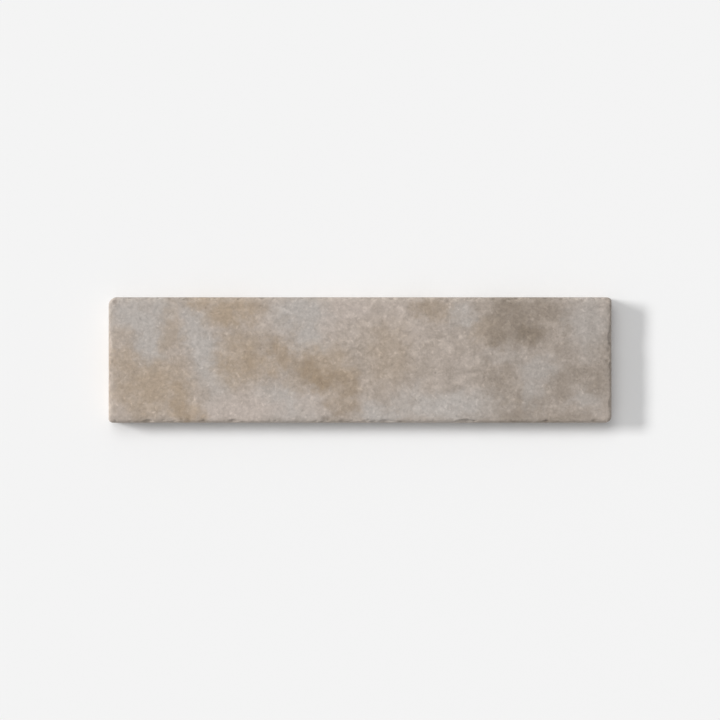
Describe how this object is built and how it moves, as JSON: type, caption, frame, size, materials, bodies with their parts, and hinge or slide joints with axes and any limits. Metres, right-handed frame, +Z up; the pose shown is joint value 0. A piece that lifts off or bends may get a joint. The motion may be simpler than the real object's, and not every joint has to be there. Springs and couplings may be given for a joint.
{
  "type": "limestone tile",
  "caption": "Slim rectangular limestone field tile with a honed mottled face, tumbled round arrises and corners, chipped edges and a flat sawn bed for thin-bed adhesive on a wall or floor.",
  "frame": {"origin": "middle of the sawn bed, on the surface that the tile lies on", "axes": "+X along the length, +Y across the width, +Z up out of the honed face"},
  "size_m": [0.3048, 0.0762, 0.0127],
  "materials": {
    "limestone": "honed and tumbled, matt, mottled grey and tan"
  },
  "bodies": {
    "root": {"limestone_tile": "limestone"}
  },
  "joints": []
}
